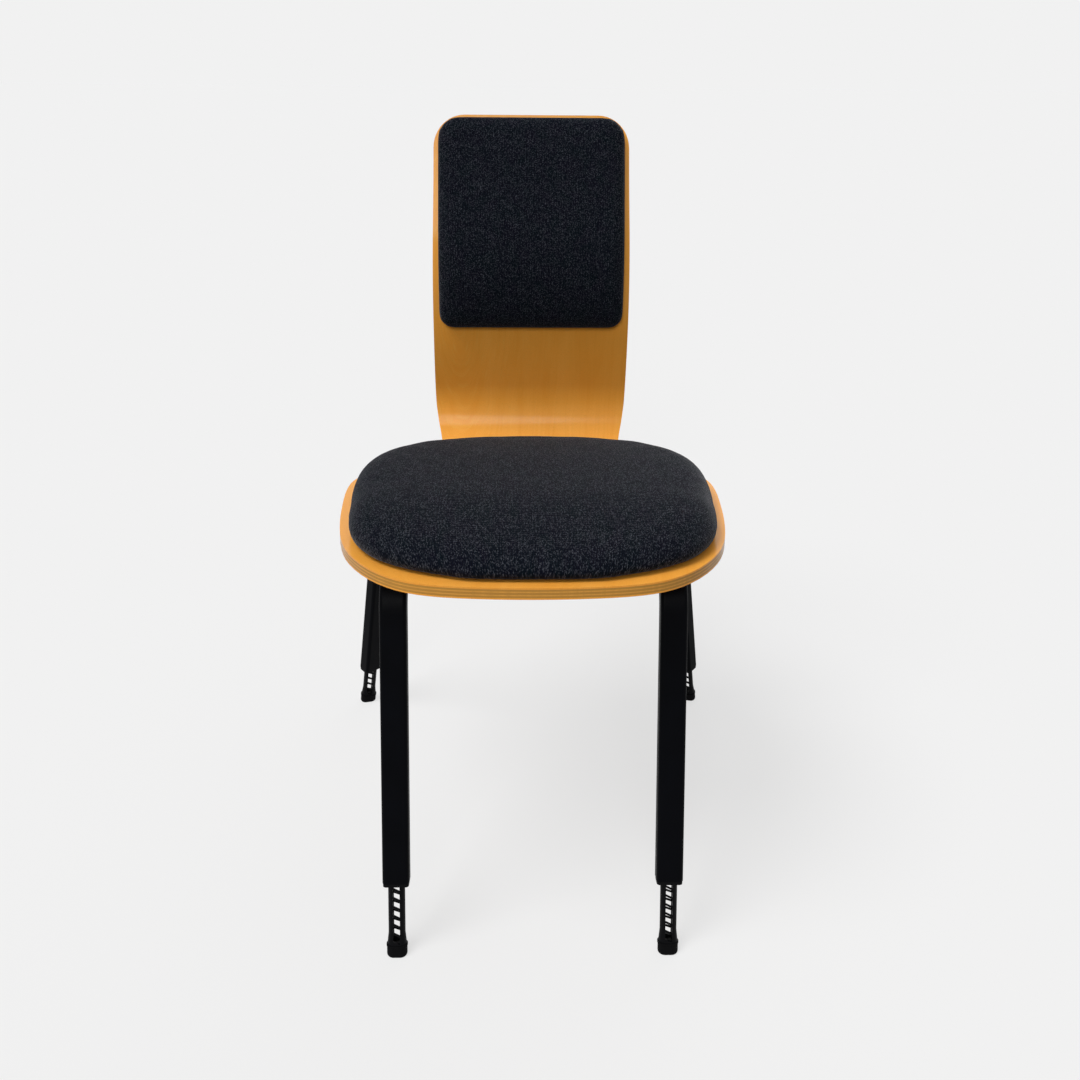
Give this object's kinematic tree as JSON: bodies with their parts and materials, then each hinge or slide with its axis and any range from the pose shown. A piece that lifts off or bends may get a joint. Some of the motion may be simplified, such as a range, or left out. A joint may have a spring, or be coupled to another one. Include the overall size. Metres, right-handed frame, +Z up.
{
  "type": "choir chair",
  "caption": "Choir chair: moulded beech plywood shell with upholstered seat and back pads on a black steel frame whose legs adjust in height on notched stems.",
  "frame": {"origin": "on the floor, at the centre of the chair's footprint box", "axes": "+Z up; +Y from the seat's front towards the back; +X to the right of a viewer who faces the chair's front"},
  "size_m": [0.5262, 0.5304, 0.8868],
  "materials": {
    "beech_ply": "clear-lacquered honey beech plywood, satin",
    "birch_board": "raw birch plywood",
    "wool_cloth": "charcoal heathered wool weave",
    "black_steel": "satin black powder coat",
    "black_plastic": "matt black moulded plastic",
    "black_nylon": "black moulded nylon",
    "black_rubber": "matt black rubber",
    "zinc_steel": "bright zinc plating",
    "spring_steel": "polished spring steel"
  },
  "bodies": {
    "frame": {"shell": "beech_ply", "seat_pad": "wool_cloth", "seat_pad_board": "birch_board", "seat_pad_screws": "zinc_steel", "back_pad": "wool_cloth", "back_pad_board": "birch_board", "back_pad_screws": "zinc_steel", "front_leg_left": "black_steel", "front_leg_right": "black_steel", "rear_leg_left": "black_steel", "rear_leg_right": "black_steel", "front_cross_tube": "black_steel", "rear_cross_tube": "black_steel", "seat_spacers": "black_plastic", "seat_screws": "zinc_steel", "seat_nuts": "zinc_steel", "guide_front_left": "black_plastic", "guide_front_right": "black_plastic", "guide_rear_left": "black_plastic", "guide_rear_right": "black_plastic", "catch_front_left": "spring_steel", "catch_front_right": "spring_steel", "catch_rear_left": "spring_steel", "catch_rear_right": "spring_steel", "guide_rivets": "black_steel"},
    "leg_foot_front_left": {"stem_front_left": "black_nylon", "foot_front_left": "black_rubber"},
    "leg_foot_front_right": {"stem_front_right": "black_nylon", "foot_front_right": "black_rubber"},
    "leg_foot_rear_left": {"stem_rear_left": "black_nylon", "foot_rear_left": "black_rubber"},
    "leg_foot_rear_right": {"stem_rear_right": "black_nylon", "foot_rear_right": "black_rubber"}
  },
  "joints": [
    {"name": "height_front_left", "type": "slide", "parent": "frame", "child": "leg_foot_front_left", "axis": [0, 0.2147, 0.9767], "range_m": [-0.0424, 0.053], "deforming": ["catch_front_left"]},
    {"name": "height_front_right", "type": "slide", "parent": "frame", "child": "leg_foot_front_right", "axis": [0, 0.2147, 0.9767], "range_m": [-0.0424, 0.053], "deforming": ["catch_front_right"]},
    {"name": "height_rear_left", "type": "slide", "parent": "frame", "child": "leg_foot_rear_left", "axis": [0.124, -0.124, 0.9845], "range_m": [-0.0636, 0.0318], "deforming": ["catch_rear_left"]},
    {"name": "height_rear_right", "type": "slide", "parent": "frame", "child": "leg_foot_rear_right", "axis": [-0.124, -0.124, 0.9845], "range_m": [-0.0636, 0.0318], "deforming": ["catch_rear_right"]}
  ]
}
